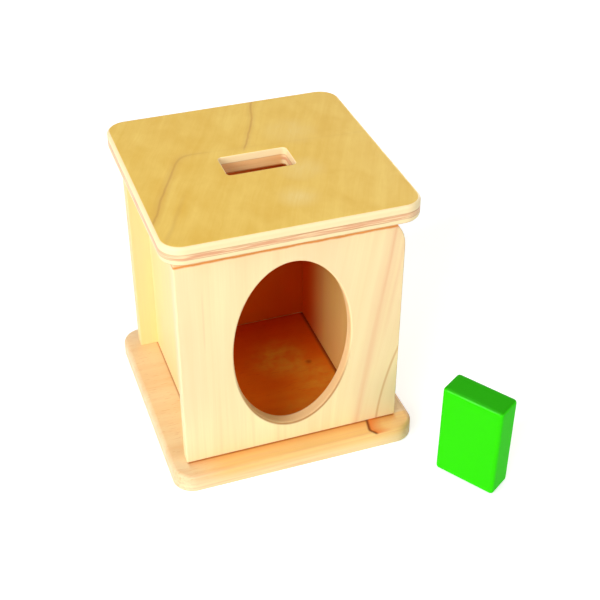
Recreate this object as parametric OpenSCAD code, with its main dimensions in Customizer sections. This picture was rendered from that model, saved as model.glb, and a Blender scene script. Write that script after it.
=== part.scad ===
// Wooden box with a slot in its top, an oval opening in its front and a loose block.
// The block is dropped through the slot and taken out again through the opening.
// Millimetres. X runs to the right, Y to the back and Z up. The origin is the centre
// of the base board's underside.

/* [Walls] */
// Width of the front and back panels
panel_w = 127; // [110:1:160]
// Height of all four walls, from the base board to the top plate
panel_h = 140; // [110:1:180]
// Thickness of the front and back panels
panel_t = 7; // [6:0.5:12]
// Radius of the panels' upper right corner
panel_right_r = 20; // [4:1:24]
// Radius of the panels' upper left corner
panel_left_r = 2; // [1:0.5:24]
// Depth of the body, over both panels
body_d = 120; // [95:1:160]
// Thickness of the side walls
wall_t = 7; // [6:0.5:12]
// Step from a panel's side edge in to the side wall's outer face
wall_inset = 11; // [3:0.5:15]

/* [Front opening] */
// Wood left between the base board and the opening's lowest point
opening_foot = 13; // [6:0.5:30]
// Wood left between the opening's highest point and the panel's upper edge
opening_head = 17; // [14:0.5:30]
// Wood left at each side of the opening
opening_side = 29.75; // [22:0.25:40]

/* [Base board] */
// Thickness of the base board
base_t = 11; // [8:0.5:18]
// How far the base board stands out at each side
base_side = 9; // [4:0.5:20]
// How far the base board stands out at the front and the back
base_front = 12.5; // [4:0.5:20]
// Radius of the base board's corners, seen from above
base_corner_r = 12; // [5:0.5:18]
// Radius of the base board's upper arris
base_edge_r = 2.5; // [0.5:0.25:3.5]
// Radius of the base board's lower arris
base_foot_r = 1; // [0.5:0.25:3.5]

/* [Top plate] */
// Thickness of the top plate
top_t = 11; // [9:0.5:18]
// How far the top plate stands out at each side
top_side = 6.5; // [2:0.5:15]
// How far the top plate stands out at the front and the back
top_front = 10; // [2:0.5:15]
// Radius of the top plate's corners, seen from above
top_corner_r = 12; // [5:0.5:18]
// Radius of the top plate's arrises
top_edge_r = 2; // [0.5:0.25:3.5]

/* [Block] */
// Width of the block
block_w = 37.5; // [25:0.5:45]
// Thickness of the block
block_t = 17; // [12:0.5:24]
// Height of the block
block_h = 60; // [40:1:90]
// Radius of the block's upright edges
block_corner_r = 2.5; // [1.5:0.25:4]
// Radius of the block's upper and lower arrises
block_edge_r = 2; // [0.5:0.25:3]
// From the base board's right edge to the middle of the block, to the right
block_beside = 17.5; // [15:0.5:60]
// From the base board's front edge to the middle of the block, forwards
block_ahead = 37.5; // [25:0.5:60]
// Turn of the block about its upright axis
block_turn = -57; // [-90:1:90]

/* [Slot] */
// Play between the block and each end of the slot
slot_end_play = 0.75; // [0.75:0.25:3]
// Play between the block and each long side of the slot
slot_side_play = 1.5; // [0.75:0.25:4]
// Radius of the slot's corners
slot_corner_r = 2.5; // [1:0.25:4]

/* [Joinery] */
// Diameter of the beech dowels
dowel_d = 4; // [3:0.25:5]
// Depth of a dowel in the top plate
dowel_in_top = 6; // [4:0.5:7]
// Depth of a dowel in the upper edge of a wall
dowel_in_edge = 10; // [6:0.5:11]
// Depth of a dowel in the inner face of a panel
dowel_in_panel = 4; // [3:0.25:5]
// Depth of a dowel in the upright end of a side wall
dowel_in_end = 12; // [8:0.5:14]
// Dowels down each upright end of a side wall
end_dowels = 3; // [2:1:4]
// Distance of a panel's upper dowels from the middle
panel_dowel_x = 35; // [26:0.5:40]
// Distance of a side wall's upper dowels from the middle
wall_dowel_y = 30; // [16:0.5:34]
// Diameter of the screw shank
screw_d = 3; // [2.5:0.25:4]
// Diameter of the countersunk screw head
screw_head_d = 6; // [5:0.25:7]
// Grip of a screw in the lower edge of a wall
screw_grip = 18; // [10:0.5:20]
// Depth of the screw heads under the base board's underside
screw_sink = 0.5; // [0.25:0.25:1]
// Distance of a panel's screws from the middle
panel_screw_x = 40; // [28:0.5:43]
// Distance of a side wall's screws from the middle
wall_screw_y = 30; // [16:0.5:36]
// Gap round a dowel or screw in its bore
bore_gap = 0.1; // [0.05:0.05:0.2]
// Gap past the end of a dowel or screw in its blind bore
end_gap = 0.5; // [0.25:0.25:1]

/* [Hidden] */
$fn = 64;

// Margin by which a cut runs past the face that it opens
cut = 1;

base_w = panel_w + 2 * base_side;
base_d = body_d + 2 * base_front;
top_w = panel_w + 2 * top_side;
top_d = body_d + 2 * top_front;
top_z = base_t + panel_h;

wall_x = panel_w / 2 - wall_inset - wall_t / 2;
wall_l = body_d - 2 * panel_t;
panel_y = body_d / 2 - panel_t / 2;

opening_w = panel_w - 2 * opening_side;
opening_h = panel_h - opening_foot - opening_head;

slot_w = block_w + 2 * slot_end_play;
slot_d = block_t + 2 * slot_side_play;

dowel_bore_r = dowel_d / 2 + bore_gap;
screw_bore_r = screw_d / 2 + bore_gap;
screw_head_h = (screw_head_d - screw_d) / 2;
screw_tip_h = screw_d;
screw_l = base_t - screw_sink + screw_grip;
screw_recess_w = screw_d / 4;

// Middles of the wall edges that the screws from below enter, and the dowels from above
screw_places = concat(
    [for (x = [-1, 1], y = [-1, 1]) [x * panel_screw_x, y * panel_y]],
    [for (x = [-1, 1], y = [-1, 1]) [x * wall_x, y * wall_screw_y]]
);
top_dowel_places = concat(
    [for (x = [-1, 1], y = [-1, 1]) [x * panel_dowel_x, y * panel_y]],
    [for (x = [-1, 1], y = [-1, 1]) [x * wall_x, y * wall_dowel_y]]
);
end_dowel_step = panel_h / end_dowels;
end_dowel_heights = [for (i = [0:end_dowels - 1]) base_t + (i + 0.5) * end_dowel_step];

birch = "#fbe6ae";
beech = "#fbd59d";
birch_ply = "#e6bf68";
green_lacquer = "#35d804";
dowel_beech = "#d8b27c";
zinc = "#c9ccd0";

// Section through a plate's rim, from its inner side at x = 0 to its outer face at x = reach
module rim_section(reach, t, upper_r, lower_r) {
    intersection() {
        square([reach, t]);
        union() {
            translate([0, lower_r]) square([reach, t - upper_r - lower_r]);
            for (end = [[upper_r, t - upper_r, t / 2], [lower_r, lower_r, 0]]) {
                translate([0, end[2]]) square([reach - end[0], t / 2]);
                translate([reach - end[0], end[1]]) circle(end[0]);
            }
        }
    }
}

// Plate with rounded corners and rounded arrises, standing on z = 0
module rounded_plate(w, d, t, corner_r, upper_r, lower_r) {
    in_w = w - 2 * corner_r;
    in_d = d - 2 * corner_r;
    translate([-in_w / 2, -in_d / 2, 0]) cube([in_w, in_d, t]);
    for (side = [[0, in_d, in_w], [90, in_w, in_d], [180, in_d, in_w], [270, in_w, in_d]])
        rotate([0, 0, side[0]]) translate([side[2] / 2, side[1] / 2, 0]) {
            rotate_extrude(angle = 90) rim_section(corner_r, t, upper_r, lower_r);
            rotate([90, 0, 0]) linear_extrude(side[1]) rim_section(corner_r, t, upper_r, lower_r);
        }
}

// Rectangle with rounded corners, centred
module rounded_rectangle(w, d, r) {
    square([w - 2 * r, d], center = true);
    square([w, d - 2 * r], center = true);
    for (x = [-1, 1], y = [-1, 1]) translate([x * (w / 2 - r), y * (d / 2 - r)]) circle(r);
}

// Outline of a panel in its own plane: square foot corners, rounded upper corners
module panel_outline() {
    translate([panel_left_r - panel_w / 2, 0]) square([panel_w - panel_left_r - panel_right_r, panel_h]);
    translate([-panel_w / 2, 0]) square([panel_left_r, panel_h - panel_left_r]);
    translate([panel_w / 2 - panel_right_r, 0]) square([panel_right_r, panel_h - panel_right_r]);
    translate([panel_left_r - panel_w / 2, panel_h - panel_left_r]) circle(panel_left_r);
    translate([panel_w / 2 - panel_right_r, panel_h - panel_right_r]) circle(panel_right_r);
}

// Oval of the front opening, in the panel's plane
module opening_outline() {
    translate([0, opening_foot + opening_h / 2]) scale([opening_w / 2, opening_h / 2]) circle(1);
}

// Stands an outline drawn in the panel's plane up on the base board, with its middle at y
module standing(y, t) {
    translate([0, y + t / 2, base_t]) rotate([90, 0, 0]) linear_extrude(t) children();
}

// Countersunk wood screw, head down at z = 0, with a gap all round when it is a bore
module screw_form(gap, past_end) {
    translate([0, 0, -past_end]) cylinder(r = screw_head_d / 2 + gap, h = past_end);
    cylinder(r1 = screw_head_d / 2 + gap, r2 = screw_d / 2 + gap, h = screw_head_h);
    translate([0, 0, screw_head_h])
        cylinder(r = screw_d / 2 + gap, h = screw_l - screw_tip_h - screw_head_h);
    translate([0, 0, screw_l - screw_tip_h])
        cylinder(r1 = screw_d / 2 + gap, r2 = gap + screw_d / 8, h = screw_tip_h);
}

module screw() {
    difference() {
        screw_form(0, 0.01);
        for (a = [0, 90]) rotate([0, 0, a])
            translate([-screw_d / 2, -screw_recess_w / 2, -cut])
                cube([screw_d, screw_recess_w, cut + screw_head_h]);
    }
}

// Clearance and pilot bores for the screws, through the base board and into the walls
module screw_bores() {
    for (p = screw_places) translate([p[0], p[1], screw_sink]) {
        screw_form(bore_gap, screw_sink + cut);
        translate([0, 0, screw_l - screw_tip_h]) cylinder(r = screw_bore_r, h = screw_tip_h + end_gap);
    }
}

// Bores for the dowels between the walls and the top plate
module top_dowel_bores() {
    for (p = top_dowel_places) translate([p[0], p[1], top_z - dowel_in_edge - end_gap])
        cylinder(r = dowel_bore_r, h = dowel_in_edge + dowel_in_top + 2 * end_gap);
}

// Dowels, or their bores, between a side wall's upright ends and the panels
module end_dowel_forms(r, past_end) {
    for (x = [-1, 1], y = [-1, 1], z = end_dowel_heights)
        translate([x * wall_x, y * (wall_l / 2 - dowel_in_end - past_end), z]) rotate([-y * 90, 0, 0])
            cylinder(r = r, h = dowel_in_end + dowel_in_panel + 2 * past_end);
}

// Every bore of the joinery, to be cut from the boards
module joinery_bores() {
    screw_bores();
    top_dowel_bores();
    end_dowel_forms(dowel_bore_r, end_gap);
}

module side_wall(side) {
    difference() {
        translate([side * wall_x - wall_t / 2, -wall_l / 2, base_t]) cube([wall_t, wall_l, panel_h]);
        joinery_bores();
    }
}

module base_board() {
    color(beech) difference() {
        rounded_plate(base_w, base_d, base_t, base_corner_r, base_edge_r, base_foot_r);
        screw_bores();
    }
}

module front_panel() {
    color(birch) difference() {
        standing(-panel_y, panel_t) panel_outline();
        standing(-panel_y, panel_t + 2 * cut) opening_outline();
        joinery_bores();
    }
}

module back_panel() {
    color(birch) difference() {
        standing(panel_y, panel_t) panel_outline();
        joinery_bores();
    }
}

module left_wall() {
    color(birch) side_wall(-1);
}

module right_wall() {
    color(birch) side_wall(1);
}

module top_plate() {
    color(birch_ply) difference() {
        translate([0, 0, top_z]) rounded_plate(top_w, top_d, top_t, top_corner_r, top_edge_r, top_edge_r);
        translate([0, 0, top_z - cut]) linear_extrude(top_t + 2 * cut)
            rounded_rectangle(slot_w, slot_d, slot_corner_r);
        top_dowel_bores();
    }
}

module block() {
    color(green_lacquer)
        translate([base_w / 2 + block_beside, -base_d / 2 - block_ahead, 0]) rotate([0, 0, block_turn])
            rounded_plate(block_w, block_t, block_h, block_corner_r, block_edge_r, block_edge_r);
}

module base_screws() {
    color(zinc) for (p = screw_places) translate([p[0], p[1], screw_sink]) screw();
}

module top_dowels() {
    color(dowel_beech) for (p = top_dowel_places) translate([p[0], p[1], top_z - dowel_in_edge])
        cylinder(r = dowel_d / 2, h = dowel_in_edge + dowel_in_top);
}

module wall_dowels() {
    color(dowel_beech) end_dowel_forms(dowel_d / 2, 0);
}

base_board();
front_panel();
back_panel();
left_wall();
right_wall();
top_plate();
block();
base_screws();
top_dowels();
wall_dowels();
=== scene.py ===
# %% [markdown]
# # A wooden box with a slot, an oval opening and a green block
#
# A small child posts the block through the slot in the top, and finds it again through the opening in
# the front. The box is six boards, glued: a solid base board, four thin pale walls and a plywood top.
# This lesson dresses the exact CAD model of that box. The CAD model gives every place and size, so the
# first step loads it, and each board is then rebuilt with softened edges and given its own wood.

# %% Load the frame
import math

import bmesh
import bpy
from mathutils import Matrix, Vector


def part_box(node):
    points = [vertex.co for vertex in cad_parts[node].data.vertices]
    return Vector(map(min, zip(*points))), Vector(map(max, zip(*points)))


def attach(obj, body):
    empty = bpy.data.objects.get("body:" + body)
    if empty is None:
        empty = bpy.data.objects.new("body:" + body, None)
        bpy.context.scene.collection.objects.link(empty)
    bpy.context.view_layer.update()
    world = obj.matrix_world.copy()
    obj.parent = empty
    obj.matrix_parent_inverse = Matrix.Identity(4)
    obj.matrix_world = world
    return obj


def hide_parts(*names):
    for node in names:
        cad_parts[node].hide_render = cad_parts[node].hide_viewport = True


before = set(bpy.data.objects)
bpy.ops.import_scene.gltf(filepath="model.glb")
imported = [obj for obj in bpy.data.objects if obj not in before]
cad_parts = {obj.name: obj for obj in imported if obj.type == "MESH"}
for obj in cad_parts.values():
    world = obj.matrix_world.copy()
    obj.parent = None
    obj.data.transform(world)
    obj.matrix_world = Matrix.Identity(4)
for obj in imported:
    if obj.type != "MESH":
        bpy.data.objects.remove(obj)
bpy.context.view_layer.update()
MM = 0.001

# %% [markdown]
# ## The camera
#
# The picture looks down on the box from the front and a little to the left, from under a metre away, so
# the box narrows towards its foot. The camera turns about a point near the middle of the box and the
# block. Its distance and lens together set how strongly the edges run together.

# %% Camera
VIEW_AZIMUTH = -19.62
VIEW_ELEVATION = 36.14
VIEW_ROLL = 0.22
VIEW_DISTANCE = 697.1 * MM
VIEW_TARGET = Vector((25.1, 0.0, 62.5)) * MM
LENS_MM = 69.92
SENSOR_MM = 36.0

turn = math.radians(VIEW_AZIMUTH)
rise = math.radians(VIEW_ELEVATION)
towards_camera = Vector((math.sin(turn) * math.cos(rise), -math.cos(turn) * math.cos(rise), math.sin(rise)))

camera_data = bpy.data.cameras.new("camera")
camera_data.lens = LENS_MM
camera_data.sensor_width = SENSOR_MM
camera = bpy.data.objects.new("camera", camera_data)
bpy.context.scene.collection.objects.link(camera)
camera.location = VIEW_TARGET + towards_camera * VIEW_DISTANCE
upright = (-towards_camera).to_track_quat("-Z", "Y").to_matrix()
camera.rotation_euler = (upright @ Matrix.Rotation(math.radians(VIEW_ROLL), 3, "Z")).to_euler()
bpy.context.scene.camera = camera
print("camera at, in mm:", [round(v / MM) for v in camera.location])

# %% [markdown]
# ## Colours and nodes
#
# Colours are written as the hex values that a paint chart gives. Those are sRGB, and shaders work with
# linear light, so one function turns them. A second small function adds a shader node, sets it and
# links it, which keeps the material recipes below short enough to read. Every recipe starts from the
# place on the object, so that a pattern keeps its real size and moves with its piece.

# %% Helpers for materials
def linear(hex_colour):
    """An sRGB hex colour such as #fbe6ae as linear red, green, blue and alpha."""
    parts = [int(hex_colour[i:i + 2], 16) / 255 for i in (1, 3, 5)]
    return [p / 12.92 if p <= 0.04045 else ((p + 0.055) / 1.055) ** 2.4 for p in parts] + [1.0]


def add(tree, kind, inputs=None, **settings):
    """Adds a shader node, sets its properties, and sets its inputs or links them to other nodes."""
    made = tree.nodes.new("ShaderNode" + kind)
    for name, value in settings.items():
        setattr(made, name, value)
    for key, value in (inputs or {}).items():
        named = [s for s in made.inputs if s.enabled and s.name == key]
        socket = named[0] if named else made.inputs[key]
        if isinstance(value, bpy.types.Node):
            value = [s for s in value.outputs if s.enabled][0]
        if isinstance(value, bpy.types.NodeSocket):
            tree.links.new(value, socket)
        else:
            socket.default_value = value
    return made


def new_material(name):
    """A material with its shader wired up, and the place on the object as X, Y and Z in metres."""
    material = bpy.data.materials.new(name)
    material.use_nodes = True
    tree = material.node_tree
    tree.nodes.clear()
    shader = add(tree, "BsdfPrincipled")
    add(tree, "OutputMaterial", {"Surface": shader})
    place = add(tree, "TexCoord").outputs["Object"]
    return material, tree, shader, place


def counted(material):
    """Prints a finished material's name and how many nodes it took, and hands it on."""
    print(material.name, len(material.node_tree.nodes), "nodes")
    return material


# %% [markdown]
# ## Wood, the shared recipe
#
# Wood is a bundle of long fibres, so every pattern in it is a fine pattern pulled out along the grain.
# A noise texture does that when its coordinates are divided by a cell size that is short across the
# grain and long along it. A broad noise gives the bands of early and late wood. A fine one gives the
# fibres, which also roughen the lacquer and raise it a little. Real fibres are a few hundredths of a
# millimetre wide. That is too fine to show in the picture, so they are drawn about 0.7 mm wide.

# %% Helpers for wood
FAR_MM = 1000.0
FIBRE_RELIEF_MM = 0.08
SATIN_SHINE = 0.28


def grain(tree, place, cell_mm, detail=3.0, distortion=0.3):
    """Noise from 0 to 1 in cells of the given size in millimetres along X, Y and Z."""
    stretched = add(tree, "Mapping", {"Vector": place, "Scale": [1 / (size * MM) for size in cell_mm]})
    return add(tree, "TexNoise", {
        "Vector": stretched, "Scale": 1.0, "Detail": detail, "Roughness": 0.55, "Distortion": distortion,
    })


def band(tree, value, low_mm, high_mm, soft_mm=0.2):
    """1 where a length in metres lies between two sizes in millimetres, else 0, with soft ends."""
    risen = add(tree, "MapRange", {
        "Value": value, "From Min": (low_mm - soft_mm) * MM, "From Max": (low_mm + soft_mm) * MM,
    }, interpolation_type="SMOOTHSTEP")
    return add(tree, "MapRange", {
        "Value": value, "From Min": (high_mm - soft_mm) * MM, "From Max": (high_mm + soft_mm) * MM,
        "To Min": risen, "To Max": 0.0,
    }, interpolation_type="SMOOTHSTEP")


def laid_over(tree, colour, tone, *shapes):
    """Lays a tone over a colour, as strongly as all the given shapes, from 0 to 1, have it together."""
    amount = shapes[0]
    for shape in shapes[1:]:
        amount = add(tree, "Math", {0: amount, 1: shape}, operation="MULTIPLY")
    return add(tree, "Mix", {"Factor": amount, "A": colour, "B": linear(tone)}, data_type="RGBA")


def lacquered(tree, shader, colour, fibres, smooth, rough):
    """Finishes a wood: its colour, and a satin lacquer that lets the fibres be felt."""
    tree.links.new([s for s in colour.outputs if s.enabled][0], shader.inputs["Base Color"])
    roughness = add(tree, "MapRange", {"Value": fibres, "To Min": smooth, "To Max": rough})
    tree.links.new(roughness.outputs[0], shader.inputs["Roughness"])
    bump = add(tree, "Bump", {"Height": fibres, "Strength": 0.2, "Distance": FIBRE_RELIEF_MM * MM})
    tree.links.new(bump.outputs[0], shader.inputs["Normal"])
    shader.inputs["Specular IOR Level"].default_value = SATIN_SHINE


# %% [markdown]
# ### The inside of the box
#
# The inner faces are painted a deep brown, as painted shade, deepest in the far right corner. Only the
# side walls just behind the front panel, where light comes in through the opening, are painted pale, as
# painted light. A mask finds these faces by their place: inside the four walls, above the base and under
# the top.

# %% Inner faces
INNER_X_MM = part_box("right_wall")[0].x / MM
INNER_Y_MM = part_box("back_panel")[0].y / MM
FLOOR_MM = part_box("base_board")[1].z / MM
CEILING_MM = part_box("top_plate")[0].z / MM
# Painted shade for the inner faces, deepest in the far right corner, and painted light just behind the
# opening.
PAINTED_INSIDE_SHADE = "#ff9f26"
PAINTED_CORNER_SHADE = "#ec6c0c"
PAINTED_LIGHT_NEAR_OPENING = "#fff0c4"
LIT_TO_MM, SHADED_FROM_MM = 4.0, 46.0
CORNER_FROM_MM = -0.3 * INNER_X_MM
HAIR_MM = 0.15


def shade_inside_faces(tree, place, colour, tone):
    """Darkens a wood's colour by a tone on the faces that look into the box, as painted shade."""
    axes = add(tree, "SeparateXYZ", {"Vector": place})
    across = add(tree, "Math", {0: axes.outputs["X"]}, operation="ABSOLUTE")
    along = add(tree, "Math", {0: axes.outputs["Y"]}, operation="ABSOLUTE")
    in_x = band(tree, across, -FAR_MM, INNER_X_MM + HAIR_MM, HAIR_MM / 3)
    in_y = band(tree, along, -FAR_MM, INNER_Y_MM + HAIR_MM, HAIR_MM / 3)
    in_z = band(tree, axes.outputs["Z"], FLOOR_MM - HAIR_MM, CEILING_MM + HAIR_MM, HAIR_MM / 3)
    inside = add(tree, "Math", {0: in_x, 1: in_y}, operation="MULTIPLY")
    inside = add(tree, "Math", {0: inside, 1: in_z}, operation="MULTIPLY")
    return add(tree, "Mix", {
        "Factor": inside, "A": colour, "B": tone,
    }, data_type="RGBA", blend_type="MULTIPLY")


def wall_inside_shade(tree, place):
    """The painted shade on the walls' inner faces: painted light near the opening, deepest shade in the far
    right corner.
    """
    axes = add(tree, "SeparateXYZ", {"Vector": place})
    depth = add(tree, "MapRange", {
        "Value": axes.outputs["Y"], "From Min": LIT_TO_MM * MM, "From Max": SHADED_FROM_MM * MM,
    }, interpolation_type="SMOOTHSTEP")
    corner = add(tree, "MapRange", {
        "Value": axes.outputs["X"], "From Min": CORNER_FROM_MM * MM, "From Max": INNER_X_MM * MM,
    })
    deep_shade = laid_over(tree, linear(PAINTED_INSIDE_SHADE), PAINTED_CORNER_SHADE, corner)
    return add(tree, "Mix", {"Factor": depth, "A": linear(PAINTED_LIGHT_NEAR_OPENING), "B": deep_shade}, data_type="RGBA")


print("inside, in mm:", round(2 * INNER_X_MM, 1), round(2 * INNER_Y_MM, 1), round(CEILING_MM - FLOOR_MM, 1))

# %% [markdown]
# ## Pale birch for the walls
#
# The four walls are planed birch, creamy and almost without figure, with the grain upright. Slow bands
# and clouds of a slightly warmer cream keep them from looking like painted board.

# %% Birch
PALE = "#fef0ba"
WALL_PALE = "#fae5a0"
WARM = "#f8daa2"
PEACHY = "#fbd9ab"
BIRCH_BAND_MM = (7, 7, 260)
BIRCH_FIBRE_MM = (0.7, 0.7, 45)
BIRCH_CLOUD_MM = (45, 45, 90)
PLANED_ROUGHNESS = (0.36, 0.5)


def birch_colour(tree, place, pale):
    """Upright birch: its colour before any marks, and its fibres."""
    bands = grain(tree, place, BIRCH_BAND_MM)
    fibres = grain(tree, place, BIRCH_FIBRE_MM, detail=2.0)
    clouds = grain(tree, place, BIRCH_CLOUD_MM, detail=1.0)
    colour = linear(pale)
    for pattern, low, high, most, tone in (
        (clouds, 0.42, 0.66, 0.55, PEACHY), (bands, 0.45, 0.75, 0.8, WARM), (fibres, 0.35, 0.7, 0.22, WARM),
    ):
        amount = add(tree, "MapRange", {"Value": pattern, "From Min": low, "From Max": high, "To Max": most})
        colour = laid_over(tree, colour, tone, amount)
    return colour, fibres


def planed_birch():
    material, tree, shader, place = new_material("birch_planed_satin_lacquer")
    colour, fibres = birch_colour(tree, place, WALL_PALE)
    # Painted shade on the faces inside the box.
    colour = shade_inside_faces(tree, place, colour, wall_inside_shade(tree, place))
    lacquered(tree, shader, colour, fibres, *PLANED_ROUGHNESS)
    return material


wall_birch = counted(planed_birch())

# %% [markdown]
# ## Lines in the wood
#
# A growth ring that meets the surface, a streak and a bark mark are all lines with soft sides. Two
# helpers draw them. One measures how far a place lies from a straight or gently bent line, and the
# other turns that distance into a mark. A painted picture could hold such lines as well, but these stay
# clear from close by.

# %% Helpers for lines
def soft_line(tree, offset, half_mm, strength):
    """A soft line where an offset in metres is 0, fading out at the given half width."""
    away = add(tree, "Math", {0: offset}, operation="ABSOLUTE")
    return add(tree, "MapRange", {
        "Value": away, "From Max": half_mm * MM, "To Min": strength, "To Max": 0.0,
    }, interpolation_type="SMOOTHSTEP")


def from_curve(tree, across, along, foot_mm, slope, bend):
    """How far a place lies across from a gently bent line, in metres; the bend is per millimetre."""
    steeper = add(tree, "Math", {0: along, 1: bend / MM, 2: slope}, operation="MULTIPLY_ADD")
    line = add(tree, "Math", {0: steeper, 1: along, 2: foot_mm * MM}, operation="MULTIPLY_ADD")
    return add(tree, "Math", {0: across, 1: line}, operation="SUBTRACT")


# %% [markdown]
# ## The front panel's own figure
#
# The front panel is the board that everyone looks at. On its right third the grain leans over, with
# pinkish streaks. The lean is made by sliding the coordinates sideways with height, only on that side.
# Each streak is then a soft line at its own distance across the leaning grain, and starts at its own
# height.

# %% Front panel, leaning grain and streaks
LEAN = 0.144
LEAN_FROM_MM, LEAN_TO_MM = 0.0, 38.0
LEAN_LEVEL_MM = 76.0
PINK = "#efb78a"
BLUSH_FROM_MM, BLUSH_TO_MM = 40.0, 49.0
BLUSH_MOST = 0.16
FLEETING_MM = (6, 60, 45)
STREAKS = (
    (47.8, 4.2, 0.5, -40), (48.2, 1.4, 0.35, 95), (51.4, 2.0, 0.2, 75), (43.6, 2.6, 0.18, 30),
    (54.6, 2.4, 0.28, 80),
)
STREAK_WANDER_MM = 3.4
STREAK_FADE_MM = 30.0


def leaning_place(tree, place):
    """The place with the right side's lean taken out of it, and its offset across the grain."""
    axes = add(tree, "SeparateXYZ", {"Vector": place})
    lean = add(tree, "MapRange", {
        "Value": axes.outputs["X"], "From Min": LEAN_FROM_MM * MM, "From Max": LEAN_TO_MM * MM,
        "To Max": LEAN,
    }, interpolation_type="SMOOTHSTEP")
    height = add(tree, "Math", {0: axes.outputs["Z"], 1: LEAN_LEVEL_MM * MM}, operation="SUBTRACT")
    slide = add(tree, "Math", {0: lean, 1: height}, operation="MULTIPLY")
    across = add(tree, "Math", {0: axes.outputs["X"], 1: slide}, operation="SUBTRACT")
    straight = add(tree, "CombineXYZ", {"X": across, "Y": axes.outputs["Y"], "Z": axes.outputs["Z"]})
    return straight, across, axes


def streaked(tree, straight, across, z, colour):
    """Adds the blush on the right, and the pink streaks in it, each above its own height."""
    fleeting = grain(tree, straight, FLEETING_MM, detail=2.0)
    blush = add(tree, "MapRange", {
        "Value": across, "From Min": BLUSH_FROM_MM * MM, "From Max": BLUSH_TO_MM * MM, "To Max": BLUSH_MOST,
    }, interpolation_type="SMOOTHSTEP")
    colour = laid_over(tree, colour, PINK, blush, fleeting)
    wander = add(tree, "Math", {0: fleeting, 1: STREAK_WANDER_MM * MM, 2: across}, operation="MULTIPLY_ADD")
    for across_mm, half_mm, strength, foot_mm in STREAKS:
        middle = (across_mm + STREAK_WANDER_MM / 2) * MM
        offset = add(tree, "Math", {0: wander, 1: middle}, operation="SUBTRACT")
        above = band(tree, z, foot_mm, FAR_MM, STREAK_FADE_MM)
        colour = laid_over(tree, colour, PINK, soft_line(tree, offset, half_mm, strength), above)
    return colour


print("front panel:", len(STREAKS), "streaks, leaning by", round(math.degrees(math.atan(LEAN)), 1), "degrees")

# %% [markdown]
# ### Marks on the front panel
#
# Near the lower right corner one thin growth line curves away to the edge, and a hairline shows at the
# upper left. Along the top, just under the plate, a painted shade and an orange line of painted shadow
# stand in for the plate's shadow. A little noise added to the height makes that line uneven.

# %% Front panel, growth lines and painted shade under the plate
DARK_LINE = "#cf8c50"
CURVE_FOOT_MM, CURVE_SLOPE, CURVE_BEND = 51.0, 0.02, 0.0028
CURVE_TOP_MM = 64.0
HAIRLINE_MM, HAIRLINE_LOW_MM, HAIRLINE_HIGH_MM = -49.5, 90.0, 124.0
LINE_FADE_MM = 6.0
# Painted shade: under the top plate, and at the panel's foot on the base.
PAINTED_SHADE_ORANGE = "#e2872c"
SHADE_UNDER_TOP_MM = 6.2
UNEVEN_MM, UNEVEN_CELL_MM = 1.0, (9, 9, 9)
SHADE_LINE_HALF_MM, SHADE_LINE_STRENGTH = 1.3, 0.95
SHADE_BAND_MOST = 0.3


def growth_lines(tree, x, z, colour):
    """Adds the curved line at the lower right and the hairline at the upper left."""
    curve = from_curve(tree, x, z, CURVE_FOOT_MM, CURVE_SLOPE, CURVE_BEND)
    hairline = from_curve(tree, x, z, HAIRLINE_MM, 0.0, 0.0)
    for offset, half_mm, strength, low_mm, high_mm in (
        (curve, 1.3, 0.55, -FAR_MM, CURVE_TOP_MM), (hairline, 0.8, 0.12, HAIRLINE_LOW_MM, HAIRLINE_HIGH_MM),
    ):
        where = band(tree, z, low_mm, high_mm, LINE_FADE_MM)
        colour = laid_over(tree, colour, DARK_LINE, soft_line(tree, offset, half_mm, strength), where)
    return colour


def shade_under_plate(tree, place, z, colour):
    """Adds a painted shade under the plate, and an orange painted shadow line at its lower border."""
    uneven = grain(tree, place, UNEVEN_CELL_MM)
    level = add(tree, "Math", {0: uneven, 1: UNEVEN_MM * MM, 2: z}, operation="MULTIPLY_ADD")
    above = add(tree, "Math", {0: level, 1: (CEILING_MM - SHADE_UNDER_TOP_MM) * MM}, operation="SUBTRACT")
    colour = laid_over(tree, colour, PAINTED_SHADE_ORANGE, band(tree, above, 0, FAR_MM, 1.0), SHADE_BAND_MOST)
    return laid_over(tree, colour, PAINTED_SHADE_ORANGE, soft_line(tree, above, SHADE_LINE_HALF_MM, SHADE_LINE_STRENGTH))


# The painted shade under the plate ends at this height.
print("lacquer stopped at", round(CEILING_MM - SHADE_UNDER_TOP_MM, 1), "mm")


# %% [markdown]
# ### The rim of the opening
#
# The opening is an ellipse, and the wood that is cut there is pinker, with a darker line along the lower
# arris. Divided by its half sizes, an ellipse becomes a circle of radius 1, so the length of a vector
# tells how far a place lies outside it.

# %% Front panel, the rim of the opening
OPENING_W_MM, OPENING_H_MM = 67.5, 110.0
OPENING_FOOT_MM = 13.0
RIM = "#ffd99e"
RIM_EDGE = "#a96a26"
CUT_MM = 0.3
EDGE_BEYOND_MM, EDGE_HALF_MM, EDGE_STRENGTH = 0.6, 0.9, 0.9
EDGE_TO_MM, EDGE_FADE_MM = -20.0, 20.0


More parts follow.
